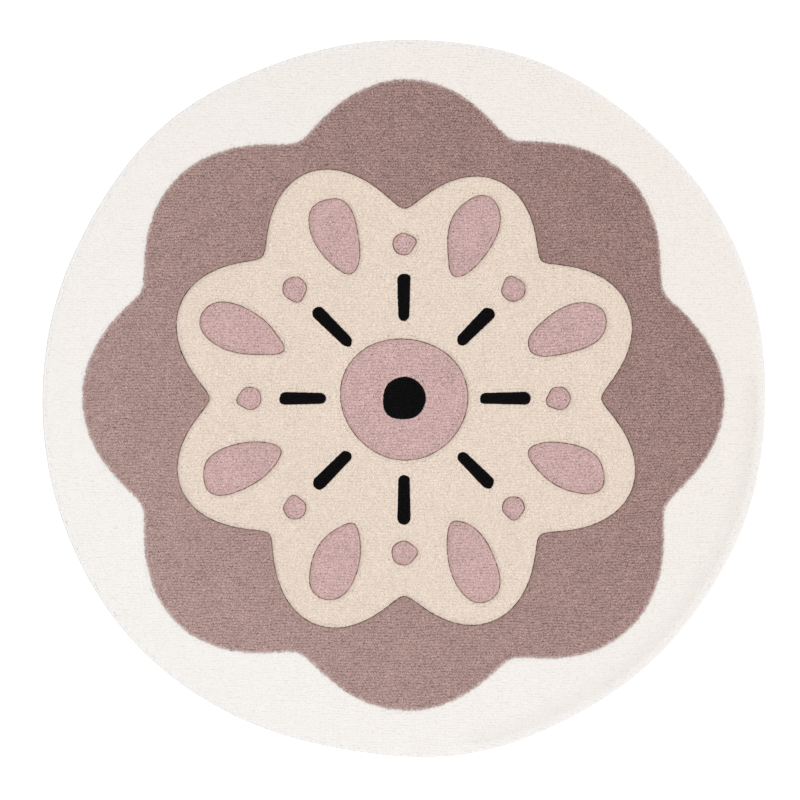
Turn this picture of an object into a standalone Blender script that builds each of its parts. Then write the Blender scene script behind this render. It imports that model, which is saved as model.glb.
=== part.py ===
"""Round hand-tufted kids rug: one flat piece of cut pile with an uneven hand-cut rim.

The pile is carved in thin V-shaped lines round its petals, its centre and its dots.
Metres, +Z up. The origin is at the middle of the underside.
"""

import math
from collections import namedtuple

import bmesh
import bpy

# Driving dimensions
RUG_RADIUS = 0.500
RUG_THICKNESS = 0.012
RIM_ROUND = 0.005
HEM_ROUND_SHARE = 0.3
RIM_ROUND_STEPS = 3
GROOVE_DEPTH = 0.002

# Points on each outline
RIM_POINTS = 180
FLOWER_POINTS = 200
SEED_POINTS = 32
CENTRE_POINTS = 44
DOT_POINTS = 20

# The motif in the middle: a flower of beige petals with a pink seed in each
PETALS = 8
PETAL_TIP = 0.335
PETAL_VALLEY = 0.270
PETAL_TURN = math.radians(22.5)
VALLEY_SOFTNESS = 0.15
SEED_DISTANCE = 0.243
SEED_HALF_LENGTH = 0.058
SEED_HALF_WIDTH = 0.031
SEED_FULLNESS = 0.25
CENTRE_RADIUS = 0.086
DOT_DISTANCE = 0.214
DOT_RADIUS = 0.016

# Hand-cut unevenness, as a share of each repeated shape's size
HAND_CUT = 0.05
HAND_CUT_STEP = 2.4

# Hand-cut wavering of each small outline: waves in a turn and their height
HAND_CUT_WAVES = ((2, 0.0005), (3, 0.0006), (4, 0.0005), (5, 0.0004))
GOLDEN_ANGLE_DEG = 137.5

# How far flat faces may turn and still be one face
FLAT_ANGLE = math.radians(0.5)
WELD_DISTANCE = 0.00001

Wave = namedtuple("Wave", "per_turn height phase_deg")

# The rim's slow waves, as it was cut by hand
RIM_WAVES = (
    Wave(per_turn=2, height=0.0025, phase_deg=-23.0),
    Wave(per_turn=3, height=0.0005, phase_deg=169.0),
    Wave(per_turn=4, height=0.0018, phase_deg=-151.0),
    Wave(per_turn=5, height=0.0011, phase_deg=13.0),
    Wave(per_turn=7, height=0.0013, phase_deg=-171.0),
    Wave(per_turn=10, height=0.0006, phase_deg=107.0),
    Wave(per_turn=12, height=0.0005, phase_deg=-126.0),
)

# The flower's own unevenness
FLOWER_WAVES = (
    Wave(per_turn=2, height=0.0030, phase_deg=60.0),
    Wave(per_turn=3, height=0.0040, phase_deg=-40.0),
    Wave(per_turn=5, height=0.0030, phase_deg=110.0),
)

# The round centre's unevenness
CENTRE_WAVES = (
    Wave(per_turn=2, height=0.0025, phase_deg=30.0),
    Wave(per_turn=3, height=0.0015, phase_deg=-80.0),
)


def clear_scene():
    """Remove whatever the file holds, so that the model stands alone."""
    for item in list(bpy.data.objects):
        bpy.data.objects.remove(item, do_unlink=True)


def new_collection(name):
    """A collection linked to the scene."""
    collection = bpy.data.collections.new(name)
    bpy.context.scene.collection.children.link(collection)
    return collection


def cream_wool():
    """The finish of the rug's ground: cream cut pile."""
    material = bpy.data.materials.new("cream_wool_pile")
    material.use_nodes = True
    shader = material.node_tree.nodes["Principled BSDF"]
    shader.inputs["Base Color"].default_value = (0.87, 0.84, 0.80, 1.0)
    shader.inputs["Roughness"].default_value = 0.95
    shader.inputs["Metallic"].default_value = 0.0
    return material


def uneven(angle, waves):
    """How far the waves push an outline out at this angle."""
    return sum(
        wave.height * math.cos(wave.per_turn * angle + math.radians(wave.phase_deg))
        for wave in waves
    )


def turn_steps(count):
    """Evenly spaced angles round one full turn."""
    return [math.tau * step / count for step in range(count)]


def round_outline(radius, waves, count):
    """A circle made uneven by its waves."""
    points = []
    for angle in turn_steps(count):
        reach = radius + uneven(angle, waves)
        points.append((reach * math.cos(angle), reach * math.sin(angle)))
    return points


def centred(points):
    """The same outline with the middle of its box at the origin."""
    xs = [x for x, y in points]
    ys = [y for x, y in points]
    middle_x = (min(xs) + max(xs)) / 2.0
    middle_y = (min(ys) + max(ys)) / 2.0
    return [(x - middle_x, y - middle_y) for x, y in points]


def petal_share(angle, petals, turn, softness):
    """0 in the valley between two petals and 1 at a petal's tip, with round tips."""
    across = math.cos(petals * (angle - turn) / 2.0)
    lobe = math.sqrt(across ** 2 + softness ** 2) - softness
    return lobe / (math.sqrt(1.0 + softness ** 2) - softness)


def flower_outline():
    """The edge of the beige flower."""
    points = []
    for angle in turn_steps(FLOWER_POINTS):
        share = petal_share(angle, PETALS, PETAL_TURN, VALLEY_SOFTNESS)
        reach = PETAL_VALLEY + (PETAL_TIP - PETAL_VALLEY) * share
        reach += uneven(angle, FLOWER_WAVES)
        points.append((reach * math.cos(angle), reach * math.sin(angle)))
    return points


def placed(points, distance, direction):
    """Points moved out along +X by the distance, then turned to the direction."""
    cosine = math.cos(direction)
    sine = math.sin(direction)
    return [
        ((x + distance) * cosine - y * sine, (x + distance) * sine + y * cosine)
        for x, y in points
    ]


def hand_cut_size(index):
    """A repeated shape's own size, a few percent off the others."""
    return 1.0 + HAND_CUT * math.sin(HAND_CUT_STEP * index)


def hand_cut_waves(index):
    """The waves of one small shape's outline; each index wavers in its own way."""
    turn = GOLDEN_ANGLE_DEG * (index + 1)
    return [Wave(count, height, turn * count) for count, height in HAND_CUT_WAVES]


def seed_outline(index):
    """One egg-shaped seed in a petal, fuller towards the petal's tip."""
    size = hand_cut_size(index)
    waves = hand_cut_waves(index)
    points = []
    for angle in turn_steps(SEED_POINTS):
        swell = 1.0 + uneven(angle, waves) / SEED_HALF_WIDTH
        along = SEED_HALF_LENGTH * size * swell * math.cos(angle)
        fullness = 1.0 + SEED_FULLNESS * math.cos(angle)
        across = SEED_HALF_WIDTH * swell * math.sin(angle) * fullness
        points.append((along, across))
    return placed(points, SEED_DISTANCE, PETAL_TURN + math.tau * index / PETALS)


def dot_outline(index):
    """One round dot in the valley between two petals."""
    waves = hand_cut_waves(index + PETALS)
    points = round_outline(DOT_RADIUS * hand_cut_size(index), waves, DOT_POINTS)
    return placed(points, DOT_DISTANCE, math.tau * index / PETALS)


def carved_lines():
    """Every outline that is carved into the pile."""
    lines = [flower_outline(), round_outline(CENTRE_RADIUS, CENTRE_WAVES, CENTRE_POINTS)]
    lines.extend(seed_outline(index) for index in range(PETALS))
    lines.extend(dot_outline(index) for index in range(PETALS))
    return lines


def closed_curves(name, outlines):
    """A curve object with one closed spline for each outline."""
    curve = bpy.data.curves.new(name, "CURVE")
    for outline in outlines:
        spline = curve.splines.new("POLY")
        spline.points.add(len(outline) - 1)
        for point, (x, y) in zip(spline.points, outline):
            point.co = (x, y, 0.0, 1.0)
        spline.use_cyclic_u = True
    item = bpy.data.objects.new(name, curve)
    bpy.context.scene.collection.objects.link(item)
    return item


def mesh_from_curve(curve_object, name, collection):
    """Replace a curve object by a welded mesh object of the same shape and place."""
    bpy.context.view_layer.update()
    depsgraph = bpy.context.evaluated_depsgraph_get()
    mesh = bpy.data.meshes.new_from_object(curve_object.evaluated_get(depsgraph))
    mesh.name = name
    shape = bmesh.new()
    shape.from_mesh(mesh)
    bmesh.ops.remove_doubles(shape, verts=shape.verts, dist=WELD_DISTANCE)
    bmesh.ops.dissolve_limit(
        shape, angle_limit=FLAT_ANGLE, verts=shape.verts, edges=shape.edges
    )
    shape.to_mesh(mesh)
    shape.free()
    item = bpy.data.objects.new(name, mesh)
    item.matrix_world = curve_object.matrix_world
    collection.objects.link(item)
    bpy.data.objects.remove(curve_object, do_unlink=True)
    return item


def mark_rims(mesh):
    """Give the top rim a full bevel weight and the hem below it a small one."""
    half = RUG_THICKNESS / 2.0
    shape = bmesh.new()
    shape.from_mesh(mesh)
    weight = shape.edges.layers.float.new("bevel_weight_edge")
    for edge in shape.edges:
        heights = [vert.co.z for vert in edge.verts]
        if min(heights) > half - WELD_DISTANCE:
            edge[weight] = 1.0
        elif max(heights) < -half + WELD_DISTANCE:
            edge[weight] = HEM_ROUND_SHARE
    shape.to_mesh(mesh)
    shape.free()


def pile_slab(collection):
    """The rug's body: a flat disc with a rounded rim and a lightly eased hem."""
    outline = centred(round_outline(RUG_RADIUS, RIM_WAVES, RIM_POINTS))
    curve_object = closed_curves("rim_line", [outline])
    curve_object.data.dimensions = "2D"
    curve_object.data.fill_mode = "BOTH"
    curve_object.data.extrude = RUG_THICKNESS / 2.0
    curve_object.location.z = RUG_THICKNESS / 2.0
    slab = mesh_from_curve(curve_object, "tufted_rug", collection)
    mark_rims(slab.data)
    rounding = slab.modifiers.new("rim_rounding", "BEVEL")
    rounding.limit_method = "WEIGHT"
    rounding.width = RIM_ROUND
    rounding.segments = RIM_ROUND_STEPS
    return slab


def groove_cutter(collection):
    """Square tubes on edge along the carved lines, centred on the top of the pile."""
    curve_object = closed_curves("carved_line", carved_lines())
    curve_object.data.dimensions = "3D"
    curve_object.data.twist_mode = "Z_UP"
    curve_object.data.fill_mode = "FULL"
    curve_object.data.bevel_depth = GROOVE_DEPTH
    curve_object.data.bevel_resolution = 0
    curve_object.location.z = RUG_THICKNESS
    cutter = mesh_from_curve(curve_object, "groove_cutter", collection)
    cutter.hide_render = True
    cutter.display_type = "WIRE"
    return cutter


def carve(slab, cutter):
    """Cut the V-shaped lines into the pile."""
    cut = slab.modifiers.new("carved_lines", "BOOLEAN")
    cut.operation = "DIFFERENCE"
    cut.solver = "EXACT"
    cut.object = cutter


def main():
    """Build the rug."""
    clear_scene()
    rug_parts = new_collection("round_tufted_rug")
    cutters = new_collection("cutters")
    slab = pile_slab(rug_parts)
    slab.data.materials.append(cream_wool())
    carve(slab, groove_cutter(cutters))


main()
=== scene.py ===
# %% [markdown]
# # A round tufted rug
# This lesson dresses a flat rug solid as the real thing: a hand-tufted kids rug of wool pile.
# The solid already has the right size and place, so each step below only adds looks to it.
# The frame is loaded first, because every size that follows is read from its box.

# %% Load the fixed frame
import math
from collections import namedtuple

import bmesh
import bpy
import numpy as np
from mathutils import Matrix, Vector


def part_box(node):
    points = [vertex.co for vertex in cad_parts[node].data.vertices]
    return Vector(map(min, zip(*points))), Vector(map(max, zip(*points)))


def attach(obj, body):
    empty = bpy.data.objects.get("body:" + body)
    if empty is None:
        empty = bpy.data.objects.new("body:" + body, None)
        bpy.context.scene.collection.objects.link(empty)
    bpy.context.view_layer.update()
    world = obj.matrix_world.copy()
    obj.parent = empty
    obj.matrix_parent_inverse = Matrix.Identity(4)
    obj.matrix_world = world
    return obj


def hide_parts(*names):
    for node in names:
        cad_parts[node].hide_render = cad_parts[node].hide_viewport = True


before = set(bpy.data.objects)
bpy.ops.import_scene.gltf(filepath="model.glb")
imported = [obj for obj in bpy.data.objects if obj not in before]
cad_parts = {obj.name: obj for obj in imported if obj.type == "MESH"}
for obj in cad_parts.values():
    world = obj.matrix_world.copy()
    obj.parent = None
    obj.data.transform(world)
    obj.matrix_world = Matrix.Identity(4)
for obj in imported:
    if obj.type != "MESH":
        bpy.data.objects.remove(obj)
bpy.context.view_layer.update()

rug_low, rug_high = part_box("tufted_rug")
PILE_TOP = rug_high.z
print("the solid's box:", tuple(rug_low), tuple(rug_high))

# %% [markdown]
# ## The drawing on the cloth
# A rug maker first draws the motif on the stretched base cloth, at full size.
# The lines could be traced as long lists of points, but each one follows a rule: a circle, a ring
# of round petals, or an egg. So each is a short formula, pushed in and out by a few slow waves
# that make it look cut by hand.

# %% Waves and outlines
Wave = namedtuple("Wave", "per_turn height phase_deg")

RIM_RADIUS = 0.500
RIM_POINTS = 360
RIM_WAVES = (
    Wave(per_turn=2, height=0.0025, phase_deg=-23.0),
    Wave(per_turn=3, height=0.0005, phase_deg=169.0),
    Wave(per_turn=4, height=0.0018, phase_deg=-151.0),
    Wave(per_turn=5, height=0.0011, phase_deg=13.0),
    Wave(per_turn=7, height=0.0013, phase_deg=-171.0),
    Wave(per_turn=10, height=0.0006, phase_deg=107.0),
    Wave(per_turn=12, height=0.0005, phase_deg=-126.0),
)


def uneven(angle, waves):
    """How far the waves push an outline out at this angle."""
    return sum(
        wave.height * math.cos(wave.per_turn * angle + math.radians(wave.phase_deg))
        for wave in waves
    )


def around(reach, count):
    """Points round the origin at the distance that reach gives for each angle."""
    points = []
    for step in range(count):
        angle = math.tau * step / count
        distance = reach(angle)
        points.append((distance * math.cos(angle), distance * math.sin(angle)))
    return points


def centred(points):
    """The same outline with the middle of its box at the origin."""
    low = [min(values) for values in zip(*points)]
    high = [max(values) for values in zip(*points)]
    return [(x - (low[0] + high[0]) / 2, y - (low[1] + high[1]) / 2) for x, y in points]


rim = centred(around(lambda angle: RIM_RADIUS + uneven(angle, RIM_WAVES), RIM_POINTS))
print("rim points:", len(rim))

# %% [markdown]
# ## The flower
# The ground is cream. On it lies a mauve flower, and on that a beige one, turned by half a petal.
# Each beige petal holds a pink seed. A petal ring is the absolute value of a cosine, softened so
# that the valleys between the petals are round, as shears would leave them.

# %% The two petal rings
PETALS = 8
PETAL_RING_POINTS = 400
VALLEY_SOFTNESS = 0.15
Ring = namedtuple("Ring", "tip valley turn_deg waves")

MAUVE_RING = Ring(
    tip=0.440,
    valley=0.388,
    turn_deg=0.0,
    waves=(
        Wave(per_turn=2, height=0.0040, phase_deg=20.0),
        Wave(per_turn=3, height=0.0035, phase_deg=130.0),
        Wave(per_turn=5, height=0.0025, phase_deg=-60.0),
    ),
)
BEIGE_RING = Ring(
    tip=0.335,
    valley=0.270,
    turn_deg=22.5,
    waves=(
        Wave(per_turn=2, height=0.0030, phase_deg=60.0),
        Wave(per_turn=3, height=0.0040, phase_deg=-40.0),
        Wave(per_turn=5, height=0.0030, phase_deg=110.0),
    ),
)


def petal_share(angle, turn):
    """0 in the valley between two petals and 1 at a petal's tip, with round tips."""
    across = math.cos(PETALS * (angle - turn) / 2)
    lobe = math.sqrt(across ** 2 + VALLEY_SOFTNESS ** 2) - VALLEY_SOFTNESS
    return lobe / (math.sqrt(1 + VALLEY_SOFTNESS ** 2) - VALLEY_SOFTNESS)


def petal_ring(ring):
    """The outline of one ring of petals."""
    turn = math.radians(ring.turn_deg)

    def reach(angle):
        height = (ring.tip - ring.valley) * petal_share(angle, turn)
        return ring.valley + height + uneven(angle, ring.waves)

    return around(reach, PETAL_RING_POINTS)


mauve_flower = petal_ring(MAUVE_RING)
beige_flower = petal_ring(BEIGE_RING)
print("petal ring points:", len(mauve_flower), len(beige_flower))

# %% [markdown]
# ## The small shapes
# Shears never cut the same shape twice. So each seed, dot and bar has its own size, a few percent
# off the others, and its own slow waves. The waves are the same four for all of them, and turning
# them by the golden angle from one shape to the next keeps any two from looking alike.

# %% Seeds, dots, bars and the centre
HAND_CUT = 0.05
HAND_CUT_STEP = 2.4
HAND_CUT_WAVES = ((2, 0.0005), (3, 0.0006), (4, 0.0005), (5, 0.0004))
GOLDEN_ANGLE_DEG = 137.5
SEED_POINTS, SMALL_POINTS, PINK_CENTRE_POINTS, BLACK_CENTRE_POINTS = 72, 48, 180, 72
SEED_DISTANCE, SEED_HALF_LENGTH, SEED_HALF_WIDTH, SEED_FULLNESS = 0.243, 0.058, 0.031, 0.25
DOT_DISTANCE, DOT_RADIUS = 0.214, 0.016
BAR_DISTANCE, BAR_HALF_LENGTH, BAR_HALF_WIDTH = 0.140, 0.034, 0.0085
BAR_UNEVENNESS, BAR_TAPER, BAR_SIZE_SHIFT = 0.4, 0.08, 3
PINK_CENTRE_RADIUS, BLACK_CENTRE_RADIUS = 0.086, 0.030
PINK_CENTRE_WAVES = (
    Wave(per_turn=2, height=0.0025, phase_deg=30.0),
    Wave(per_turn=3, height=0.0015, phase_deg=-80.0),
)


def placed(points, distance, direction):
    """Points moved out along +X by the distance, then turned to the direction."""
    cosine, sine = math.cos(direction), math.sin(direction)
    return [((x + distance) * cosine - y * sine, (x + distance) * sine + y * cosine) for x, y in points]


def hand_cut_size(index):
    """A repeated shape's own size, a few percent off the others."""
    return 1.0 + HAND_CUT * math.sin(HAND_CUT_STEP * index)


def uneven_cut(index, angle):
    """How far the outline of one small shape wavers here; each index wavers in its own way."""
    turn = GOLDEN_ANGLE_DEG * (index + 1)
    return uneven(angle, [Wave(count, height, turn * count) for count, height in HAND_CUT_WAVES])


def seed_outline(index):
    """One egg-shaped seed, fuller towards the petal's tip."""
    size = hand_cut_size(index)
    points = []
    for step in range(SEED_POINTS):
        angle = math.tau * step / SEED_POINTS
        swell = 1 + uneven_cut(index, angle) / SEED_HALF_WIDTH
        across = SEED_HALF_WIDTH * swell * math.sin(angle) * (1 + SEED_FULLNESS * math.cos(angle))
        points.append((SEED_HALF_LENGTH * size * swell * math.cos(angle), across))
    turn = math.radians(BEIGE_RING.turn_deg) + math.tau * index / PETALS
    return placed(points, SEED_DISTANCE, turn)


def dot_outline(index):
    """One round dot between two petals."""
    radius = DOT_RADIUS * hand_cut_size(index)
    points = around(lambda angle: radius + uneven_cut(index + PETALS, angle), SMALL_POINTS)
    return placed(points, DOT_DISTANCE, math.tau * index / PETALS)


def bar_outline(index):
    """One short bar with round ends, pointing away from the centre and a little wider there."""
    size = hand_cut_size(index + BAR_SIZE_SHIFT)
    straight = BAR_HALF_LENGTH * size - BAR_HALF_WIDTH

    def reach(angle):
        return BAR_HALF_WIDTH + BAR_UNEVENNESS * uneven_cut(index, angle)

    points = []
    for x, y in around(reach, SMALL_POINTS):
        points.append((x + math.copysign(straight, x), y * (1 + math.copysign(BAR_TAPER, x))))
    return placed(points, BAR_DISTANCE, math.tau * index / PETALS)


seeds = [seed_outline(index) for index in range(PETALS)]
dots = [dot_outline(index) for index in range(PETALS)]
bars = [bar_outline(index) for index in range(PETALS)]
pink_centre = around(
    lambda angle: PINK_CENTRE_RADIUS + uneven(angle, PINK_CENTRE_WAVES), PINK_CENTRE_POINTS
)
black_centre = around(lambda angle: BLACK_CENTRE_RADIUS + uneven_cut(0, angle), BLACK_CENTRE_POINTS)
print("small shapes:", len(seeds) + len(dots) + len(bars) + 2)

# %% [markdown]
# ## Colour fields
# Each yarn fills one field of the drawing. A field is a flat face with holes, and a filled 2D curve
# makes exactly that: an outline inside another one becomes a hole. The curve is then turned into
# a mesh, because the tufting tree below wants faces to aim at and edges to follow.

# %% Flat fields and guide lines
def flat_field(name, outlines):
    """A mesh object lying at z = 0 that fills the outlines, with a hole for each nested one."""
    curve = bpy.data.curves.new(name, "CURVE")
    curve.dimensions = "2D"
    curve.fill_mode = "BOTH"
    for outline in outlines:
        spline = curve.splines.new("POLY")
        spline.points.add(len(outline) - 1)
        for point, (x, y) in zip(spline.points, outline):
            point.co = (x, y, 0.0, 1.0)
        spline.use_cyclic_u = True
    drawn = bpy.data.objects.new(name + "_line", curve)
    bpy.context.scene.collection.objects.link(drawn)
    bpy.context.view_layer.update()
    filled = bpy.data.meshes.new_from_object(drawn.evaluated_get(bpy.context.evaluated_depsgraph_get()))
    bpy.data.objects.remove(drawn)
    field = bpy.data.objects.new(name, filled)
    bpy.context.scene.collection.objects.link(field)
    return field


def guide_line(name, outlines, closed=True):
    """A wire mesh along the outlines, only there to measure distances to."""
    shape = bmesh.new()
    for outline in outlines:
        corners = [shape.verts.new((x, y, 0.0)) for x, y in outline]
        pairs = zip(corners, corners[1:] + corners[:1] if closed else corners[1:])
        for pair in pairs:
            shape.edges.new(pair)
    mesh = bpy.data.meshes.new(name)
    shape.to_mesh(mesh)
    shape.free()
    line = bpy.data.objects.new(name, mesh)
    bpy.context.scene.collection.objects.link(line)
    return line


fields = {
    "cream": flat_field("pile_cream", [rim, mauve_flower]),
    "mauve": flat_field("pile_mauve", [mauve_flower, beige_flower]),
    "beige": flat_field("pile_beige", [beige_flower, pink_centre, *seeds, *dots, *bars]),
    "pink": flat_field("pile_pink", [pink_centre, black_centre, *seeds, *dots]),
    "black": flat_field("pile_black", [black_centre, *bars]),
}
carved_line = guide_line("carved_line", [beige_flower, pink_centre, *seeds, *dots])
soft_line = guide_line("soft_line", [mauve_flower])
rim_line = guide_line("rim_line", [rim])
print("faces in each field:", {name: len(field.data.polygons) for name, field in fields.items()})

# %% [markdown]
# ## A soft crease near the rim
# At the lower right the rug's edge curls a little: a narrow band along the rim stands up, and the
# pile dips just inside it, steeply on the rim's side and slowly on the other. Sculpting would do
# it, but a guide line is easier to read: the pile sinks near it.

# %% The crease line
CREASE_INSET = 0.0155
CREASE_START_DEG, CREASE_END_DEG = -78.0, 2.0
CREASE_STEPS = 40


def crease_points():
    """Points along the crease, a fixed way inside the rim."""
    points = []
    for step in range(CREASE_STEPS + 1):
        angle = math.radians(CREASE_START_DEG + (CREASE_END_DEG - CREASE_START_DEG) * step / CREASE_STEPS)
        distance = RIM_RADIUS + uneven(angle, RIM_WAVES) - CREASE_INSET
        points.append((distance * math.cos(angle), distance * math.sin(angle)))
    return points


crease_line = guide_line("crease_line", [crease_points()], closed=False)
print("crease points:", len(crease_line.data.vertices))

# %% [markdown]
# ## One tuft
# A tuft is a cut end of yarn that stands up from the cloth. There are tens of thousands of them,
# so the form is as small as it can be: a square tip, a wider square root, and ten triangles in
# all. The roots are so wide that they run under the neighbours, which closes the pile: only a
# shallow notch is left between two tips, deeper between rows than along them. A tuft on an outline
# stands straight on its outer side instead, so that the pile's side shows upright yarn. Its tip
# is wider on the inner side, because a row that bends round a small shape is longer there and
# would show gaps. Each form is one metre tall and notes how far up each point is, and the tree
# scales it.

# %% The two forms of a tuft
Tuft = namedtuple(
    "Tuft", "name root_half_width root_outer root_inner tip_half_width tip_outer tip_inner tip_fan"
)

FIELD_TUFT = Tuft(
    name="field_tuft",
    root_half_width=1.7,
    root_outer=1.7,
    root_inner=1.7,
    tip_half_width=0.56,
    tip_outer=0.375,
    tip_inner=0.375,
    tip_fan=1.0,
)
EDGE_TUFT = Tuft(
    name="edge_tuft",
    root_half_width=0.85,
    root_outer=0.5,
    root_inner=1.7,
    tip_half_width=0.58,
    tip_outer=0.53,
    tip_inner=0.62,
    tip_fan=1.3,
)


def four_corners(half_width, outer, inner, fan=1.0):
    """Four corners, with the outer side towards -Y and the inner side wider by the fan."""
    fanned = half_width * fan
    return ((-half_width, -outer), (half_width, -outer), (fanned, inner), (-fanned, inner))


def tuft_form(tuft):
    """A unit tuft: open at its root, which stands inside the base cloth."""
    shape = bmesh.new()
    rise = shape.verts.layers.float.new("rise")
    root_corners = four_corners(tuft.root_half_width, tuft.root_outer, tuft.root_inner)
    tip_corners = four_corners(tuft.tip_half_width, tuft.tip_outer, tuft.tip_inner, tuft.tip_fan)
    roots = [shape.verts.new((x, y, 0.0)) for x, y in root_corners]
    tips = [shape.verts.new((x, y, 1.0)) for x, y in tip_corners]
    for tip in tips:
        tip[rise] = 1.0
    shape.faces.new(tips)
    for index in range(4):
        following = (index + 1) % 4
        shape.faces.new((roots[index], roots[following], tips[following], tips[index]))
    bmesh.ops.triangulate(shape, faces=shape.faces)
    mesh = bpy.data.meshes.new(tuft.name)
    shape.to_mesh(mesh)
    shape.free()
    form = bpy.data.objects.new(tuft.name, mesh)
    bpy.context.scene.collection.objects.link(form)
    return form


field_tuft = tuft_form(FIELD_TUFT)
edge_tuft = tuft_form(EDGE_TUFT)
print("triangles in a tuft:", len(field_tuft.data.polygons))

# %% [markdown]
# ## A shorthand for node trees
# Node trees get long when each node, value and link is its own line. This small class adds one
# node per call and links or sets its inputs, so that a tree reads like a recipe.

# %% Wiring helper
class Wiring:
    """Adds nodes to one tree."""

    def __init__(self, tree):
        self.tree = tree

    def node(self, kind, inputs=None, **settings):
        """Add a node, apply its settings, then link or set its inputs."""
        made = self.tree.nodes.new(kind)
        for name, value in settings.items():
            setattr(made, name, value)
        for key, value in (inputs or {}).items():
            self.feed(self.socket(made, key), value)
        return made

    @staticmethod
    def socket(made, key):
        """An input by its number, or the enabled one with that name."""
        if isinstance(key, int):
            return made.inputs[key]
        return next(item for item in made.inputs if item.name == key and item.enabled)

    def feed(self, socket, value):
        """Link a socket to the input, or set the input's own value."""
        if isinstance(value, bpy.types.NodeSocket):
            self.tree.links.new(value, socket)
        else:
            socket.default_value = value

    def math(self, operation, first, second=0.0, third=0.0, clamp=False):
        """One Math node's result."""
        inputs = {0: first, 1: second, 2: third}
        return self.node("ShaderNodeMath", inputs, operation=operation, use_clamp=clamp).outputs[0]

    def vector(self, operation, first, second=(0.0, 0.0, 0.0)):
        """One Vector Math node's vector result."""
        return self.node("ShaderNodeVectorMath", {0: first, 1: second}, operation=operation).outputs[0]

    def scaled(self, vector, factor):
        """A vector times a number."""
        return self.node("ShaderNodeVectorMath", {0: vector, 3: factor}, operation="SCALE").outputs[0]

    def xyz(self, x=0.0, y=0.0, z=0.0):
        """A vector from three numbers."""
        return self.node("ShaderNodeCombineXYZ", {0: x, 1: y, 2: z}).outputs[0]

    def parts(self, vector):
        """A vector's three numbers."""
        return self.node("ShaderNodeSeparateXYZ", {0: vector}).outputs

    def noise(self, vector, scale, detail=0.0):
        """Smooth noise from about 0 to 1."""
        inputs = {"Vector": vector, "Scale": scale, "Detail": detail}
        return self.node("ShaderNodeTexNoise", inputs).outputs[0]

    def centred_noise(self, vector, scale, detail=0.0):
        """Smooth noise from about -0.5 to 0.5."""
        return self.math("SUBTRACT", self.noise(vector, scale, detail), 0.5)

    def fade(self, value, start, end, low=1.0, high=0.0):
        """A smooth change from low at start to high at end."""
        inputs = {"Value": value, "From Min": start, "From Max": end, "To Min": low, "To Max": high}
        return self.node("ShaderNodeMapRange", inputs, interpolation_type="SMOOTHSTEP").outputs[0]


print("wiring helper ready")

# %% [markdown]
# ## The tufting tree
# A tufter works in level rows with a gun that punches one stitch after another, then outlines
# every shape with a row that follows its edge. Particles or copies in a Python loop could do this
# too, but Geometry Nodes keep it one recipe with named sizes, used once for each yarn.
# The recipe has four steps: stitch rows, edge rows, planting the tufts, and shearing the pile.
# A fluffy yarn spreads until it meets the next row, and a firm one leaves the rows easy to see.
# Row Fill sets that for the tufts on the rows, and the edge tufts keep their lines crisp.

# %% Named inputs of the tree
TREE_INPUTS = (
    ("Field", "NodeSocketGeometry"),
    ("Field Tuft", "NodeSocketObject"),
    ("Edge Tuft", "NodeSocketObject"),
    ("Carved Line", "NodeSocketObject"),
    ("Soft Line", "NodeSocketObject"),
    ("Rim Line", "NodeSocketObject"),
    ("Crease Line", "NodeSocketObject"),
    ("Yarn", "NodeSocketMaterial"),
    ("Rug Span", "NodeSocketFloat"),
    ("Row Pitch", "NodeSocketFloat"),
    ("Stitch Pitch", "NodeSocketFloat"),
    ("Row Fill", "NodeSocketFloat"),
    ("Jitter", "NodeSocketFloat"),
    ("Row Wander", "NodeSocketFloat"),
    ("Edge Looseness", "NodeSocketFloat"),
    ("Soft Inset", "NodeSocketFloat"),
    ("Carved Inset", "NodeSocketFloat"),
    ("Root Level", "NodeSocketFloat"),
    ("Pile Top", "NodeSocketFloat"),
    ("Height Spread", "NodeSocketFloat"),
    ("Tilt", "NodeSocketFloat"),
    ("Raggedness", "NodeSocketFloat"),
    ("Carve Depth", "NodeSocketFloat"),
    ("Carve Half Width", "NodeSocketFloat"),
    ("Crease Depth", "NodeSocketFloat"),
    ("Rim Splay", "NodeSocketFloat"),
    ("Rim Drop", "NodeSocketFloat"),
    ("Seed", "NodeSocketInt"),
)


def new_tree(name):
    """An empty geometry tree with its named inputs, one output and a wiring helper."""
    tree = bpy.data.node_groups.new(name, "GeometryNodeTree")
    tree.interface.new_socket("Pile", in_out="OUTPUT", socket_type="NodeSocketGeometry")
    for label, kind in TREE_INPUTS:
        tree.interface.new_socket(label, in_out="INPUT", socket_type=kind)
    wiring = Wiring(tree)
    given = {item.name: item for item in wiring.node("NodeGroupInput").outputs}
    return wiring, given


print("tree inputs:", len(TREE_INPUTS))

# %% Small measuring steps
ABOVE = 0.1


def random_between(w, low, high, seed, stream):
    """An even random number for each element; each stream draws its own."""
    inputs = {2: low, 3: high, "Seed": w.math("ADD", seed, stream)}
    return w.node("FunctionNodeRandomValue", inputs, data_type="FLOAT").outputs[1]


def flat_position(w):
    """Where an element is, with its height set to zero."""
    place = w.parts(w.node("GeometryNodeInputPosition").outputs[0])
    return w.xyz(place[0], place[1])


def length_of(w, vector):
    """A vector's length."""
    return w.node("ShaderNodeVectorMath", {0: vector}, operation="LENGTH").outputs["Value"]


def inside(w, field, place):
    """Whether a ray straight down from above the place meets the field."""
    inputs = {
        "Target Geometry": field,
        "Source Position": w.vector("ADD", place, (0.0, 0.0, ABOVE)),
        "Ray Direction": (0.0, 0.0, -1.0),
        "Ray Length": 2 * ABOVE,
    }
    return w.node("GeometryNodeRaycast", inputs).outputs["Is Hit"]


def distance_to(w, line, place):
    """How far the place is from the nearest edge of a line."""
    inputs = {0: line, "Sample Position": place}
    return w.node("GeometryNodeProximity", inputs, target_element="EDGES").outputs["Distance"]


def shape_of(w, item):
    """The geometry of an object input."""
    return w.node("GeometryNodeObjectInfo", {"Object": item}).outputs["Geometry"]


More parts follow.
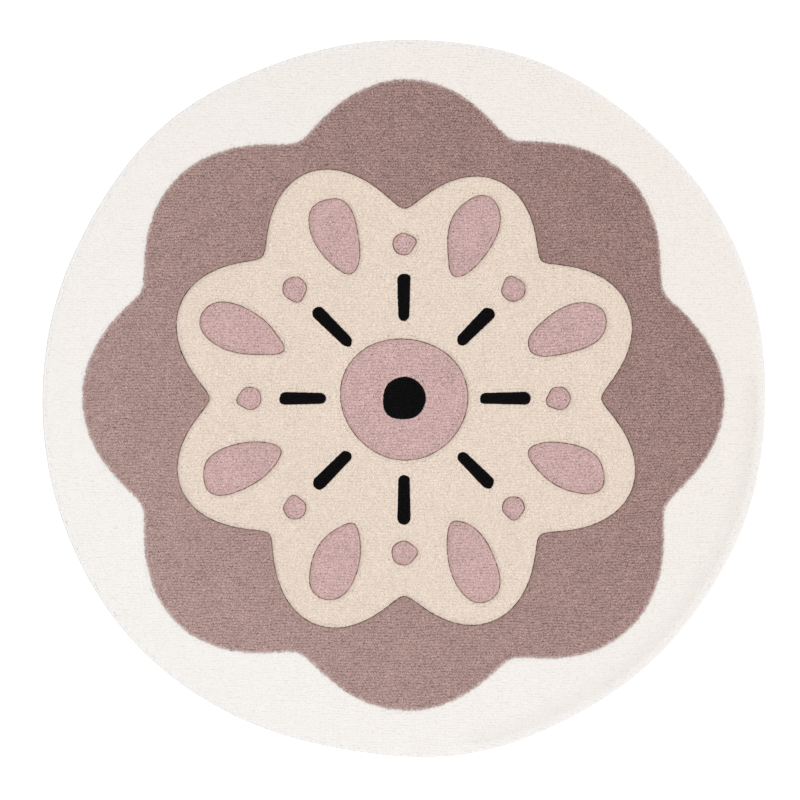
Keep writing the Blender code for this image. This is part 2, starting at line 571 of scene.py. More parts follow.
def dropped(w, geometry, selection):
    """The geometry without its selected points."""
    inputs = {"Geometry": geometry, "Selection": selection}
    return w.node("GeometryNodeDeleteGeometry", inputs, domain="POINT").outputs[0]


print("measuring steps ready")

# %% Step one: stitch rows
ROW_WANDER_SCALE = (24.0, 8.0, 1.0)


def half_count(w, given, pitch):
    """How many rows or stitches fit on half the rug."""
    return w.math("CEIL", w.math("DIVIDE", given["Rug Span"], w.math("MULTIPLY", given[pitch], 2.0)))


def crowded_by(w, given, line, inset, place):
    """Whether the place is less than half a row from the edge row that follows a line."""
    room = w.math("MULTIPLY_ADD", given["Row Pitch"], 0.5, given[inset])
    return w.math("LESS_THAN", distance_to(w, line, place), room)


def stitch_rows(w, given, edge_line):
    """Stitches on level rows, kept where they lie well inside the field."""
    half_rows = half_count(w, given, "Row Pitch")
    half_stitches = half_count(w, given, "Stitch Pitch")
    grid = w.node(
        "GeometryNodeMeshGrid",
        {
            "Size X": w.math("MULTIPLY", w.math("MULTIPLY", half_stitches, 2.0), given["Stitch Pitch"]),
            "Size Y": w.math("MULTIPLY", w.math("MULTIPLY", half_rows, 2.0), given["Row Pitch"]),
            "Vertices X": w.math("MULTIPLY_ADD", half_stitches, 2.0, 1.0),
            "Vertices Y": w.math("MULTIPLY_ADD", half_rows, 2.0, 1.0),
        },
    )
    points = w.node("GeometryNodeMeshToPoints", {"Mesh": grid.outputs["Mesh"]}).outputs[0]
    place = w.node("GeometryNodeInputPosition").outputs[0]
    row = w.math("ROUND", w.math("DIVIDE", w.parts(place)[1], given["Row Pitch"]))
    half_stitch = w.math("MULTIPLY", w.math("FLOORED_MODULO", row, 2.0), 0.5)
    slow = w.centred_noise(w.vector("MULTIPLY", place, ROW_WANDER_SCALE), 1.0, 1.0)
    wander = w.math("MULTIPLY", slow, given["Row Wander"])
    spread = w.math("MULTIPLY", given["Jitter"], -1.0)
    across = random_between(w, spread, given["Jitter"], given["Seed"], 1.0)
    along = random_between(w, spread, given["Jitter"], given["Seed"], 2.0)
    shift = w.xyz(
        w.math("MULTIPLY_ADD", half_stitch, given["Stitch Pitch"], along),
        w.math("ADD", wander, across),
    )
    moved = w.node("GeometryNodeSetPosition", {"Geometry": points, "Offset": shift}).outputs[0]
    outside = w.math("SUBTRACT", 1.0, inside(w, given["Field"], place))
    crowded = w.math(
        "MAXIMUM",
        crowded_by(w, given, edge_line, "Soft Inset", place),
        crowded_by(w, given, shape_of(w, given["Carved Line"]), "Carved Inset", place),
    )
    return dropped(w, moved, w.math("MAXIMUM", outside, crowded))


print("stitch rows ready")

# %% Step two: edge rows
NEAR = 0.0008


def edge_line_of(w, field):
    """The field's outline: its edges that have a face on one side only."""
    count = w.node("GeometryNodeInputMeshEdgeNeighbors").outputs[0]
    single = w.node("FunctionNodeCompare", {2: count, 3: 1}, data_type="INT", operation="EQUAL").outputs[0]
    return w.node("GeometryNodeMeshToCurve", {"Mesh": field, "Selection": single}).outputs[0]


def named(w, geometry, name, value, domain="POINT", kind="FLOAT"):
    """Keep a value on the geometry under a name."""
    inputs = {"Geometry": geometry, "Name": name, "Value": value}
    return w.node("GeometryNodeStoreNamedAttribute", inputs, domain=domain, data_type=kind).outputs[0]


def recalled(w, name):
    """A number that was kept on the geometry under a name."""
    return w.node("GeometryNodeInputNamedAttribute", {"Name": name}, data_type="FLOAT").outputs[0]


def edge_row(w, given, edge_curve, further=0.0):
    """One row of stitches that follows the outline, just inside it or some way further in."""
    spacing = {"Curve": edge_curve, "Length": given["Stitch Pitch"]}
    laid = w.node("GeometryNodeCurveToPoints", spacing, mode="LENGTH")
    tangent = w.parts(laid.outputs["Tangent"])
    side = w.xyz(w.math("MULTIPLY", tangent[1], -1.0), tangent[0])
    place = w.node("GeometryNodeInputPosition").outputs[0]
    probe = w.vector("ADD", place, w.scaled(side, NEAR))
    sign = w.math("MULTIPLY_ADD", inside(w, given["Field"], probe), 2.0, -1.0)
    to_carved = distance_to(w, shape_of(w, given["Carved Line"]), place)
    carved = w.math("LESS_THAN", to_carved, NEAR)
    widened = w.math("SUBTRACT", given["Carved Inset"], given["Soft Inset"])
    inset = w.math("MULTIPLY_ADD", carved, widened, given["Soft Inset"])
    loose_low = w.math("MULTIPLY", given["Edge Looseness"], -1.0)
    loose = random_between(w, loose_low, given["Edge Looseness"], given["Seed"], 3.0)
    firm = w.math("ADD", inset, further)
    reach = w.math("MULTIPLY_ADD", loose, w.math("SUBTRACT", 1.0, carved), firm)
    about = w.math("MULTIPLY", w.math("LESS_THAN", sign, 0.0), math.pi)
    turn = w.math("ADD", w.math("ARCTAN2", tangent[1], tangent[0]), about)
    turned = named(w, laid.outputs["Points"], "turn", turn)
    offset = w.scaled(side, w.math("MULTIPLY", sign, reach))
    return w.node("GeometryNodeSetPosition", {"Geometry": turned, "Offset": offset}).outputs[0]


FILLER_REACH_SHARE = 0.95
FILLER_ROOM_SHARE = 0.62


def filler_row(w, given, edge_curve, edge_line, taken):
    """A second row inside the first, kept only where the level rows left a gap."""
    further = w.math("MULTIPLY", given["Row Pitch"], FILLER_REACH_SHARE)
    row = edge_row(w, given, edge_curve, further)
    place = w.node("GeometryNodeInputPosition").outputs[0]
    room = w.math("MULTIPLY", given["Row Pitch"], FILLER_ROOM_SHARE)
    nearest = w.node("GeometryNodeProximity", {0: taken, "Sample Position": place}, target_element="POINTS")
    close = w.math("LESS_THAN", nearest.outputs["Distance"], room)
    outside = w.math("SUBTRACT", 1.0, inside(w, given["Field"], place))
    at_edge = crowded_by(w, given, edge_line, "Soft Inset", place)
    return dropped(w, row, w.math("MAXIMUM", w.math("MAXIMUM", close, outside), at_edge))


def joined(w, *parts):
    """Several geometries as one."""
    join = w.node("GeometryNodeJoinGeometry")
    for part in parts:
        w.feed(join.inputs[0], part)
    return join.outputs[0]


print("edge rows ready")

# %% Step three: planting
Habit = namedtuple("Habit", "form turn_spread tilt_share fills_row")

FIELD_HABIT = Habit("Field Tuft", turn_spread=math.radians(40.0), tilt_share=1.0, fills_row=True)
EDGE_HABIT = Habit("Edge Tuft", turn_spread=math.radians(3.0), tilt_share=0.4, fills_row=False)
WIDTH_LOW, WIDTH_HIGH = 0.94, 1.08


def planted(w, given, points, habit):
    """A tuft on every stitch, each with its own turn, tilt, girth, height and shade."""
    seed = given["Seed"]
    tilt_high = w.math("MULTIPLY", given["Tilt"], habit.tilt_share)
    tilt_low = w.math("MULTIPLY", tilt_high, -1.0)
    own_turn = random_between(w, -habit.turn_spread, habit.turn_spread, seed, 4.0)
    rotation = w.xyz(
        random_between(w, tilt_low, tilt_high, seed, 5.0),
        random_between(w, tilt_low, tilt_high, seed, 6.0),
        w.math("ADD", recalled(w, "turn"), own_turn),
    )
    girth = random_between(w, WIDTH_LOW, WIDTH_HIGH, seed, 7.0)
    spread_low = w.math("MULTIPLY", given["Height Spread"], -1.0)
    height = w.math(
        "ADD",
        w.math("SUBTRACT", given["Pile Top"], given["Root Level"]),
        random_between(w, spread_low, given["Height Spread"], seed, 8.0),
    )
    across = given["Row Pitch"]
    if habit.fills_row:
        across = w.math("MULTIPLY", across, given["Row Fill"])
    scale = w.xyz(
        w.math("MULTIPLY", girth, given["Stitch Pitch"]),
        w.math("MULTIPLY", girth, across),
        height,
    )
    raised = w.node("GeometryNodeSetPosition", {"Geometry": points, "Offset": w.xyz(z=given["Root Level"])})
    stood = w.node(
        "GeometryNodeInstanceOnPoints",
        {
            "Points": raised.outputs[0],
            "Instance": shape_of(w, given[habit.form]),
            "Rotation": rotation,
            "Scale": scale,
        },
    )
    shade = random_between(w, 0.0, 1.0, seed, 9.0)
    shaded = named(w, stood.outputs[0], "tuft_shade", shade, domain="INSTANCE")
    return w.node("GeometryNodeRealizeInstances", {"Geometry": shaded}).outputs[0]


print("planting ready")

# %% Step four: shearing
HALFWAY_UP = 0.5
CARVED_TUCK_REACH = 0.009
RIM_TUCK_INSET = 0.0012
SOFT_BORDER = 0.004
RIM_REACH = 0.008
LEVEL_SCALE = 14.0
LEVEL_SPREAD = 0.0004


def nearest_on(w, line, place):
    """The point of a line that is nearest to the place."""
    inputs = {0: line, "Sample Position": place}
    return w.node("GeometryNodeProximity", inputs, target_element="EDGES").outputs["Position"]


def pulled(w, pile, selection, target):
    """Move the selected points to the target, at the height that they have."""
    height = w.parts(w.node("GeometryNodeInputPosition").outputs[0])[2]
    inputs = {
        "Geometry": pile,
        "Selection": selection,
        "Position": w.vector("ADD", target, w.xyz(z=height)),
    }
    return w.node("GeometryNodeSetPosition", inputs).outputs[0]


def tucked(w, given, pile):
    """Pull roots back that stick out past a carved line, or past the rim."""
    flat = flat_position(w)
    low = w.math("LESS_THAN", recalled(w, "rise"), HALFWAY_UP)
    carved = shape_of(w, given["Carved Line"])
    near = w.math("LESS_THAN", distance_to(w, carved, flat), CARVED_TUCK_REACH)
    strayed = w.math("MULTIPLY", near, w.math("SUBTRACT", 1.0, inside(w, given["Field"], flat)))
    kept = pulled(w, pile, w.math("MULTIPLY", low, strayed), nearest_on(w, carved, flat))
    rim_point = nearest_on(w, shape_of(w, given["Rim Line"]), flat)
    reach = w.math("SUBTRACT", length_of(w, rim_point), RIM_TUCK_INSET)
    past = w.math("GREATER_THAN", length_of(w, flat), reach)
    inner = w.vector("SUBTRACT", rim_point, w.scaled(w.vector("NORMALIZE", rim_point), RIM_TUCK_INSET))
    return pulled(w, kept, w.math("MULTIPLY", low, past), inner)


def ragged(w, given, pile):
    """Shift each corner of a tip a little, because no two yarn ends are cut alike."""
    low = w.math("MULTIPLY", given["Raggedness"], -1.0)
    shift = w.xyz(
        random_between(w, low, given["Raggedness"], given["Seed"], 10.0),
        random_between(w, low, given["Raggedness"], given["Seed"], 11.0),
        random_between(w, low, given["Raggedness"], given["Seed"], 12.0),
    )
    offset = w.scaled(shift, recalled(w, "rise"))
    return w.node("GeometryNodeSetPosition", {"Geometry": pile, "Offset": offset}).outputs[0]


def trimmed(w, given, pile, edge_line):
    """Pull tips back that stick out past the field's outline, but for those on the soft border."""
    flat = flat_position(w)
    high = w.math("GREATER_THAN", recalled(w, "rise"), HALFWAY_UP)
    outside = w.math("SUBTRACT", 1.0, inside(w, given["Field"], flat))
    to_soft = distance_to(w, shape_of(w, given["Soft Line"]), flat)
    firm = w.math("GREATER_THAN", to_soft, SOFT_BORDER)
    strayed = w.math("MULTIPLY", w.math("MULTIPLY", high, outside), firm)
    return pulled(w, pile, strayed, nearest_on(w, edge_line, flat))


def sheared(w, given, pile):
    """Cut the pile level, carve its lines, sink its crease and round it off at the rim."""
    flat = flat_position(w)
    tip = recalled(w, "rise")
    to_carved = distance_to(w, shape_of(w, given["Carved Line"]), flat)
    near_carved = w.math("SUBTRACT", 1.0, w.math("DIVIDE", to_carved, given["Carve Half Width"]), clamp=True)
    to_rim = distance_to(w, shape_of(w, given["Rim Line"]), flat)
    near_rim = w.fade(to_rim, 0.0, RIM_REACH)
    level = w.math("MULTIPLY", w.centred_noise(flat, LEVEL_SCALE, 1.0), LEVEL_SPREAD)
    sunk = w.math("MULTIPLY_ADD", near_carved, given["Carve Depth"], level)
    sunk = w.math("MULTIPLY_ADD", near_rim, given["Rim Drop"], sunk)
    sunk = w.math("MULTIPLY_ADD", recalled(w, "crease"), given["Crease Depth"], sunk)
    down = w.math("MULTIPLY", w.math("MULTIPLY", sunk, tip), -1.0)
    outward = w.vector("NORMALIZE", flat)
    splay = w.math("MULTIPLY", w.math("MULTIPLY", near_rim, tip), given["Rim Splay"])
    offset = w.vector("ADD", w.scaled(outward, splay), w.xyz(z=down))
    cut = w.node("GeometryNodeSetPosition", {"Geometry": pile, "Offset": offset}).outputs[0]
    return tucked(w, given, cut)


print("shearing ready")

# %% Notes for the yarn: how near each point is to a guide line
BLOOM_REACH = 0.0036
GLOW_REACH = 0.016
CREASE_RIM_SIDE = 0.004
CREASE_INNER_SIDE = 0.026


def with_nearness(w, given, pile, name, line, reach):
    """Note on the pile how near it is to a guide line: 1 on it, and 0 further off than the reach."""
    distance = distance_to(w, shape_of(w, given[line]), flat_position(w))
    return named(w, pile, name, w.fade(distance, 0.0, reach))


def with_crease(w, given, pile):
    """Note how deep in the crease each point lies, which fades faster on the rim's side."""
    flat = flat_position(w)
    line = shape_of(w, given["Crease Line"])
    inner = w.math("LESS_THAN", length_of(w, flat), length_of(w, nearest_on(w, line, flat)))
    reach = w.math("MULTIPLY_ADD", inner, CREASE_INNER_SIDE - CREASE_RIM_SIDE, CREASE_RIM_SIDE)
    share = w.math("DIVIDE", distance_to(w, line, flat), reach)
    return named(w, pile, "crease", w.fade(share, 0.0, 1.0))


def with_notes(w, given, pile):
    """The pile with all that the shears and the yarn need to know."""
    pile = with_nearness(w, given, pile, "bloom", "Soft Line", BLOOM_REACH)
    # How near the rim each point is, for the yarn's painted light at the rim.
    pile = with_nearness(w, given, pile, "glow", "Rim Line", GLOW_REACH)
    return with_crease(w, given, pile)


print("notes ready")

# %% The whole tree
def tufting_tree():
    """The recipe from a flat field to its finished pile."""
    w, given = new_tree("tufting")
    edge_curve = edge_line_of(w, given["Field"])
    edge_wire = w.node("GeometryNodeCurveToMesh", {"Curve": edge_curve}).outputs[0]
    rows = stitch_rows(w, given, edge_wire)
    edges = edge_row(w, given, edge_curve)
    filler = filler_row(w, given, edge_curve, edge_wire, joined(w, rows, edges))
    inner = planted(w, given, joined(w, rows, filler), FIELD_HABIT)
    outer = planted(w, given, edges, EDGE_HABIT)
    pile = trimmed(w, given, ragged(w, given, joined(w, inner, outer)), edge_wire)
    pile = sheared(w, given, with_notes(w, given, pile))
    smooth = w.node("GeometryNodeSetShadeSmooth", {"Geometry": pile}).outputs[0]
    finished = w.node("GeometryNodeSetMaterial", {"Geometry": smooth, "Material": given["Yarn"]}).outputs[0]
    w.feed(w.node("NodeGroupOutput").inputs[0], finished)
    return w.tree


tufting = tufting_tree()
print("nodes in the tree:", len(tufting.nodes))

# %% [markdown]
# ## Yarn
# Wool pile is matt. Seen from above, light catches the cut tips and dies between the tufts.
# The colour is one dyed yarn, so it is set once, and nearly everything else only makes it lighter
# or darker: a shade for each tuft, flecks, single fibres, faint streaks along the rows and a slow
# drift. Painted light and shade are added too: a painted light slope that is lighter and paler
# towards the lower left and darker and warmer towards the upper right, painted shade in the notches
# between the tufts, and painted shade in the crease. Where two yarns meet without a carved line,
# their cut ends bloom into each other, so a little of the neighbour's colour is mixed in there.
# At the rim light comes through the free ends, so the colour there is painted paler, as painted light.
# The fibres are one fine noise, stretched along Z because they run up the tuft, and the same noise
# gives their relief. Light also soaks through pale wool and evens out its shade. Subsurface
# scattering could do that, but it is simpler to turn a pale yarn's normals upward. That is done
# only on faces that look up, because on the upright side of the pile wool then looks like metal.

# %% Yarn material
FIBRE_SCALE = (1500.0, 1500.0, 200.0)
FLECK_SCALE = (700.0, 850.0, 700.0)
STREAK_SCALE = (90.0, 600.0, 1.0)
DRIFT_SCALE = 45.0
FIBRE_DEPTH, FIBRE_RELIEF, FIBRE_TONE = 0.0004, 0.6, 0.22
# Painted shade in the notches starts this far up the tuft and deepens towards the roots.
NOTCH_START = 0.85
BLOOM_SHARE = 0.5
# Painted light at the rim: near it the yarn's colour is mixed towards this paler colour.
GLOW_SHARE = 0.5
GLOW_COLOUR = (0.945, 0.935, 0.935, 1.0)
# Painted shade in the crease: how much darker the colour is where it is deepest.
CREASE_SHADE = 0.05
# The painted light slope runs along this direction: lighter towards the lower left, darker towards the upper
# right.
LIGHT_SLOPE_SCALE = (-1.5, -1.3, 0.0)
FACES_SIDEWAYS, FACES_UPWARD = 0.15, 0.55
SPECULAR_SHARE = 0.12
WOOL_ROUGHNESS, SHEEN_ROUGHNESS = 0.95, 0.5

Yarn = namedtuple(
    "Yarn", "name colour tuft_fleck fibre_fleck streak drift lean tone notch_shade sheen softness"
)


def noted(w, name):
    """A number that the tufting tree kept on the mesh."""
    return w.node("ShaderNodeAttribute", attribute_name=name).outputs["Fac"]


def mixed(w, own, other, nearness, most):
    """A colour that turns towards another one near a line, by at most the given share."""
    near = noted(w, nearness)
    share = w.math("MULTIPLY", w.math("MULTIPLY", near, near), most)
    return w.node("ShaderNodeMix", {"Factor": share, "A": own, "B": other}, data_type="RGBA").outputs[2]


def softened_normal(w, softness):
    """The normal, turned upward where the face looks up already."""
    normal = w.node("ShaderNodeNewGeometry").outputs["Normal"]
    lift = w.fade(w.parts(normal)[2], FACES_SIDEWAYS, FACES_UPWARD, 0.0, softness)
    return w.vector("NORMALIZE", w.vector("ADD", normal, w.xyz(z=lift)))


def yarn_material(yarn, neighbour=None):
    """A matt dyed wool with flecks and streaks, painted shade in its notches and crease, and painted light.
    """
    material = bpy.data.materials.new(yarn.name)
    material.use_nodes = True
    w = Wiring(material.node_tree)
    shader = material.node_tree.nodes["Principled BSDF"]
    place = w.node("ShaderNodeTexCoord").outputs["Object"]
    level = w.math("MULTIPLY_ADD", w.math("SUBTRACT", noted(w, "tuft_shade"), 0.5), yarn.tuft_fleck, 1.0)
    flecks = w.centred_noise(w.vector("MULTIPLY", place, FLECK_SCALE), 1.0, 2.0)
    level = w.math("MULTIPLY_ADD", flecks, yarn.fibre_fleck, level)
    fibres = w.centred_noise(w.vector("MULTIPLY", place, FIBRE_SCALE), 1.0, 3.0)
    level = w.math("MULTIPLY_ADD", fibres, FIBRE_TONE, level)
    rows = w.vector("MULTIPLY", place, STREAK_SCALE)
    level = w.math("MULTIPLY_ADD", w.centred_noise(rows, 1.0, 2.0), yarn.streak, level)
    level = w.math("MULTIPLY_ADD", w.centred_noise(place, DRIFT_SCALE, 2.0), yarn.drift, level)
    # Painted light slope: the colour is lighter towards the lower left and darker towards the upper right.
    light_slope_level = w.node("ShaderNodeVectorMath", {0: place, 1: LIGHT_SLOPE_SCALE}, operation="DOT_PRODUCT")
    light_slope_level = light_slope_level.outputs["Value"]
    level = w.math("MULTIPLY_ADD", light_slope_level, yarn.lean, level)
    # Painted shade in the crease: darker where the pile dips.
    level = w.math("MULTIPLY_ADD", noted(w, "crease"), -CREASE_SHADE, level)
    # Painted shade in the notches: darker down the tuft's sides, where the neighbours shade them.
    notch = w.fade(noted(w, "rise"), NOTCH_START, 1.0, yarn.notch_shade, 1.0)
    value = w.math("MULTIPLY", level, notch)
    # Painted light tint: paler and cooler towards the lower left, warmer towards the upper right.
    strength = w.math("MULTIPLY_ADD", light_slope_level, -yarn.tone, 1.0)
    dyed = (*yarn.colour, 1.0)
    if neighbour:
        dyed = mixed(w, dyed, (*neighbour.colour, 1.0), "bloom", BLOOM_SHARE)
    # Painted light: near the rim the colour turns paler, where light comes through the free ends.
    dyed = mixed(w, dyed, GLOW_COLOUR, "glow", GLOW_SHARE)
    inputs = {"Saturation": strength, "Value": value, "Color": dyed}
    w.feed(shader.inputs["Base Color"], w.node("ShaderNodeHueSaturation", inputs).outputs[0])
    relief = {
        "Strength": FIBRE_RELIEF,
        "Distance": FIBRE_DEPTH,
        "Height": fibres,
        "Normal": softened_normal(w, yarn.softness),
    }
    w.feed(shader.inputs["Normal"], w.node("ShaderNodeBump", relief).outputs[0])
    shader.inputs["Roughness"].default_value = WOOL_ROUGHNESS
    shader.inputs["Specular IOR Level"].default_value = SPECULAR_SHARE
    shader.inputs["Sheen Weight"].default_value = yarn.sheen
    shader.inputs["Sheen Roughness"].default_value = SHEEN_ROUGHNESS
    return material


# Columns: name, colour, tuft fleck, fibre fleck, streak, drift, painted light slope, painted light tint,
# painted notch shade, sheen, softness.
YARNS = {
    "cream": Yarn("cream_wool", (0.886, 0.844, 0.804), 0.00, 0.00, 0.05, 0.02, 0.026, 0.27, 0.99, 0.10, 1.8),
    "mauve": Yarn("mauve_wool", (0.389, 0.256, 0.236), 0.10, 2.60, 0.06, 0.22, 0.17, 0.08, 0.56, 0.15, 0.0),
    "beige": Yarn("beige_wool", (0.788, 0.667, 0.567), 0.04, 0.88, 0.03, 0.08, 0.01, 0.03, 0.80, 0.10, 0.1),
    "pink": Yarn("pink_wool", (0.600, 0.409, 0.396), 0.08, 1.85, 0.06, 0.18, 0.05, 0.00, 0.60, 0.12, 0.0),
    "black": Yarn("black_wool", (0.0024, 0.0018, 0.0023), 0.60, 2.40, 0.0, 0.0, 0.0, 0.00, 0.60, 0.0, 0.0),
}
SOFT_NEIGHBOURS = {"cream": YARNS["mauve"], "mauve": YARNS["cream"]}
wools = {key: yarn_material(yarn, SOFT_NEIGHBOURS.get(key)) for key, yarn in YARNS.items()}
print("yarns:", sorted(wools))

# %% [markdown]
# ## Tufting each field
# The tree's inputs are set by their identifiers, because a modifier doesn't know them by name.
# The evaluated result becomes a plain mesh and the modifier goes, so nothing stays live.
# A flat map from above is laid on each mesh, for a baked copy of the material.

# %% Tuft the five fields
SPAN_MARGIN = 0.01
SETTINGS = {
    "Field Tuft": field_tuft,
    "Edge Tuft": edge_tuft,
    "Carved Line": carved_line,
    "Soft Line": soft_line,
    "Rim Line": rim_line,
    "Crease Line": crease_line,
    "Rug Span": max(rug_high.x - rug_low.x, rug_high.y - rug_low.y) + SPAN_MARGIN,
    "Row Pitch": 0.00388,
    "Stitch Pitch": 0.0036,
    "Jitter": 0.00025,
    "Row Wander": 0.0070,
    "Soft Inset": 0.0017,
    "Carved Inset": 0.0025,
    "Root Level": 0.0026,
    "Pile Top": PILE_TOP,
    "Height Spread": 0.00025,
    "Tilt": math.radians(3.0),
    "Raggedness": 0.00025,
    "Carve Depth": 0.0030,
    "Carve Half Width": 0.0030,
    "Crease Depth": 0.0020,
    "Rim Splay": 0.0004,
    "Rim Drop": 0.0026,
}
YarnHabit = namedtuple("YarnHabit", "edge_looseness row_fill")

YARN_HABITS = {
    "cream": YarnHabit(0.0005, 1.18),
    "mauve": YarnHabit(0.0005, 1.03),
    "beige": YarnHabit(0.0001, 1.20),
    "pink": YarnHabit(0.0001, 1.10),
    "black": YarnHabit(0.0001, 1.00),
}
TUFT_POINTS = 8
ROOT_MAP_SHARE = 0.03
FIRST_SEED = 11
identifiers = {item.name: item.identifier for item in tufting.interface.items_tree if item.in_out == "INPUT"}


def lay_top_map(mesh, tuft_points=0):
    """A UV map that looks straight down and fills the map's square with the piece.

    A tuft's roots reach under its neighbours, so on the map they stay close to its own tips.
    """
    corners = np.empty(len(mesh.vertices) * 3, np.float32)
    mesh.vertices.foreach_get("co", corners)
    flat = corners.reshape(-1, 3)[:, :2]
    if tuft_points:
        tufts = flat.reshape(-1, tuft_points, 2)
        roots, tips = tufts[:, : tuft_points // 2], tufts[:, tuft_points // 2 :]
        roots[:] = tips + ROOT_MAP_SHARE * (roots - tips)
    low = flat.min(axis=0)
    span = (flat.max(axis=0) - low).max()
    used = np.empty(len(mesh.loops), np.int32)
    mesh.loops.foreach_get("vertex_index", used)
    layer = mesh.uv_layers.new(name="OFBake")
    layer.uv.foreach_set("vector", ((flat[used] - low) / span).ravel())


def tufted(field, key, seed):
    """Replace a flat field by its pile."""
    modifier = field.modifiers.new("tufting", "NODES")
    modifier.node_group = tufting
    habit = YARN_HABITS[key]
    own = {
        "Yarn": wools[key],
        "Seed": seed,
        "Edge Looseness": habit.edge_looseness,
        "Row Fill": habit.row_fill,
    }
    for name, value in {**SETTINGS, **own}.items():
        modifier[identifiers[name]] = value
    bpy.context.view_layer.update()
    depsgraph = bpy.context.evaluated_depsgraph_get()
    pile = bpy.data.meshes.new_from_object(
        field.evaluated_get(depsgraph), preserve_all_data_layers=True, depsgraph=depsgraph
    )
    field.modifiers.remove(modifier)
    field.data = pile
    lay_top_map(pile, TUFT_POINTS)
    print(key, "triangles:", len(pile.polygons))
    return field


piles = {}
for seed, (key, field) in enumerate(fields.items(), start=FIRST_SEED):
    piles[key] = tufted(field, key, seed)
print("triangles in all:", sum(len(item.data.polygons) for item in piles.values()))

# %% Clear the guides
for guide in (field_tuft, edge_tuft, carved_line, soft_line, rim_line, crease_line):
    bpy.data.objects.remove(guide)
print("guides removed")

# %% [markdown]
# ## The base cloth
# The yarn is punched through a woven cotton cloth and glued to it. It shows only underneath and
# as a thin edge below the outermost tufts. A filled curve with a little thickness makes it.

# %% Base cloth shape
CLOTH_THICKNESS = 0.0028
CLOTH_INSET = 0.0016
MERGE_DISTANCE = 0.00001


def base_cloth():
    """A thin closed sheet, a little smaller than the rim."""
    shrink = 1.0 - CLOTH_INSET / RIM_RADIUS
    sheet = flat_field("base_cloth", [[(x * shrink, y * shrink) for x, y in rim]])
    shape = bmesh.new()
    shape.from_mesh(sheet.data)
    bmesh.ops.remove_doubles(shape, verts=shape.verts, dist=MERGE_DISTANCE)
    raised = bmesh.ops.extrude_face_region(shape, geom=shape.faces[:])
    tops = [item for item in raised["geom"] if isinstance(item, bmesh.types.BMVert)]
    bmesh.ops.translate(shape, verts=tops, vec=(0.0, 0.0, CLOTH_THICKNESS))
    bmesh.ops.recalc_face_normals(shape, faces=shape.faces)
    shape.to_mesh(sheet.data)
    shape.free()
    return sheet


cloth = base_cloth()
lay_top_map(cloth.data)

# %% [markdown]
# ## Woven cotton
# A plain weave passes each thread over one and under the next. Two rows of round ridges, one
# along X and one along Y, swapped by a checker pattern, give that relief without any picture.
# The same relief also darkens the colour where a thread dips, as painted shade between the threads.

# %% Cotton material
THREAD_PITCH = 0.0014
THREAD_DEPTH = 0.0003
SLUB_SCALE = (90.0, 700.0, 1.0)
WEAVE_PAINTED_SHADE, SLUB_TONE, DARKEST = 0.25, 0.2, 0.65
COTTON_COLOUR = (0.74, 0.68, 0.58, 1.0)
COTTON_ROUGHNESS = 0.9


def cotton_material():
    """Unbleached cotton in a plain weave."""
    material = bpy.data.materials.new("natural_cotton")
    material.use_nodes = True
    w = Wiring(material.node_tree)
    shader = material.node_tree.nodes["Principled BSDF"]
    place = w.node("ShaderNodeTexCoord").outputs["Object"]
    turns = w.parts(w.scaled(place, math.pi / THREAD_PITCH))
    warp = w.math("ABSOLUTE", w.math("SINE", turns[0]))
    weft = w.math("ABSOLUTE", w.math("SINE", turns[1]))
    checker = w.node("ShaderNodeTexChecker", {"Vector": place, "Scale": 1.0 / THREAD_PITCH}).outputs["Fac"]
    over = w.math("SUBTRACT", warp, weft)
    relief = w.math("MULTIPLY_ADD", over, checker, weft)
    slub = w.noise(w.vector("MULTIPLY", place, SLUB_SCALE), 1.0, 2.0)
    # Painted shade between the threads: the colour is darker where the weave's relief dips.
    value = w.math("MULTIPLY_ADD", relief, WEAVE_PAINTED_SHADE, w.math("MULTIPLY_ADD", slub, SLUB_TONE, DARKEST))
    inputs = {"Value": value, "Color": COTTON_COLOUR}
    w.feed(shader.inputs["Base Color"], w.node("ShaderNodeHueSaturation", inputs).outputs[0])
    bump = w.node("ShaderNodeBump", {"Distance": THREAD_DEPTH, "Height": relief}).outputs[0]
    w.feed(shader.inputs["Normal"], bump)
    shader.inputs["Roughness"].default_value = COTTON_ROUGHNESS
    return material


cloth.data.materials.clear()
cloth.data.materials.append(cotton_material())
print("cloth finish:", cloth.data.materials[0].name)

# %% [markdown]
# ## Riding on the frame
# Every piece rides on the rug's one body. The cloth and the piles take the plain solid's place,
# so the solid is hidden.

# %% Tie the pieces to the frame
for item in (cloth, *piles.values()):
    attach(item, "root")
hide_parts("tufted_rug")

# %% [markdown]
# ## Floor, light and camera
# The floor is a plain white light table, so the rug throws no shadow on it. A large soft light
# stands far off on the right, and a pale sky fills the rest. The camera looks straight down.

# %% Floor
FLOOR_SIZE = 8.0
FLOOR_GAP = 0.0005
FLOOR_GLOW = 0.5
FLOOR_ROUGHNESS = 0.9
FLOOR_COLOUR = (0.98, 0.98, 0.98, 1.0)
WHITE = (1.0, 1.0, 1.0, 1.0)


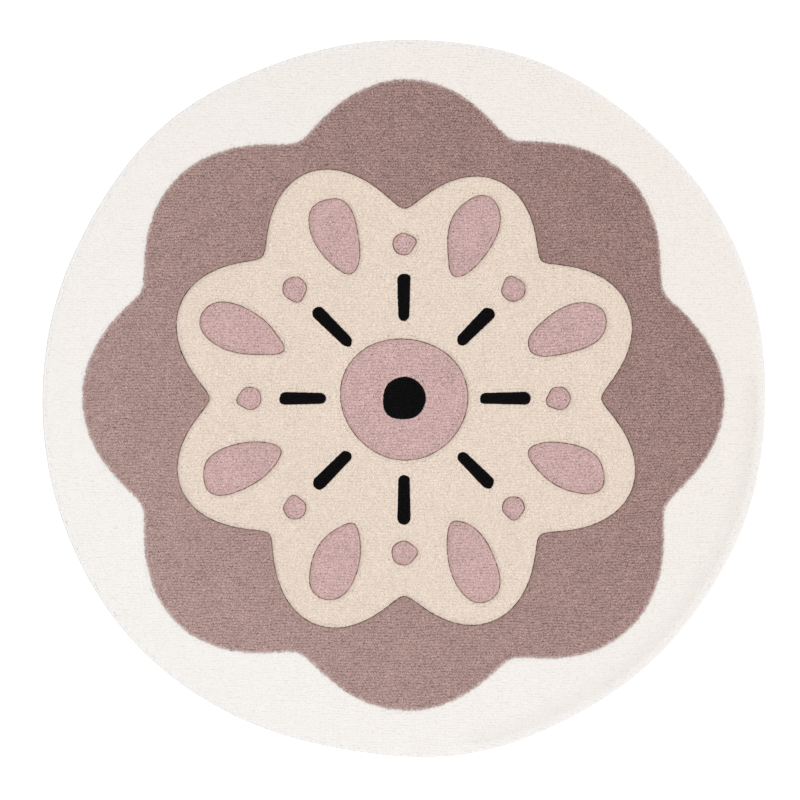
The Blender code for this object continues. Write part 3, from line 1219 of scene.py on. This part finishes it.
def white_floor():
    """A large plain plane just below the rug."""
    shape = bmesh.new()
    bmesh.ops.create_grid(shape, x_segments=1, y_segments=1, size=FLOOR_SIZE / 2)
    bmesh.ops.translate(shape, verts=shape.verts, vec=(0.0, 0.0, -FLOOR_GAP))
    mesh = bpy.data.meshes.new("floor")
    shape.to_mesh(mesh)
    shape.free()
    material = bpy.data.materials.new("floor_white")
    material.use_nodes = True
    shader = material.node_tree.nodes["Principled BSDF"]
    shader.inputs["Base Color"].default_value = FLOOR_COLOUR
    shader.inputs["Roughness"].default_value = FLOOR_ROUGHNESS
    shader.inputs["Emission Color"].default_value = WHITE
    shader.inputs["Emission Strength"].default_value = FLOOR_GLOW
    mesh.materials.append(material)
    floor = bpy.data.objects.new("floor", mesh)
    bpy.context.scene.collection.objects.link(floor)
    return floor


white_floor()
print("floor laid")

# %% Light
KEY_PLACE = Vector((7.3, -1.3, 9.5))
KEY_SIZE = 8.0
KEY_POWER = 430.0
SKY_STRENGTH = 0.883


def soft_light(name, place, size, power):
    """A square area light that looks at the rug and isn't seen itself."""
    light = bpy.data.lights.new(name, "AREA")
    light.shape = "SQUARE"
    light.size = size
    light.energy = power
    lamp = bpy.data.objects.new(name, light)
    lamp.location = place
    lamp.rotation_euler = (-place).to_track_quat("-Z", "Y").to_euler()
    lamp.visible_camera = False
    bpy.context.scene.collection.objects.link(lamp)
    return lamp


soft_light("key_light", KEY_PLACE, KEY_SIZE, KEY_POWER)
world = bpy.data.worlds.new("pale_sky")
world.use_nodes = True
sky = world.node_tree.nodes["Background"]
sky.inputs["Color"].default_value = WHITE
sky.inputs["Strength"].default_value = SKY_STRENGTH
bpy.context.scene.world = world
bpy.context.scene.view_settings.view_transform = "Standard"
print("lights set")

# %% Camera
LENS = 85.0
SENSOR = 36.0
VIEW_WIDTH = 1.1064
VIEW_CENTRE = (-0.0055, -0.0021)

camera_data = bpy.data.cameras.new("camera")
camera_data.lens = LENS
camera_data.sensor_width = SENSOR
camera = bpy.data.objects.new("camera", camera_data)
camera.location = (*VIEW_CENTRE, PILE_TOP + VIEW_WIDTH * LENS / SENSOR)
bpy.context.scene.collection.objects.link(camera)
bpy.context.scene.camera = camera
print("camera height:", round(camera.location.z, 3))
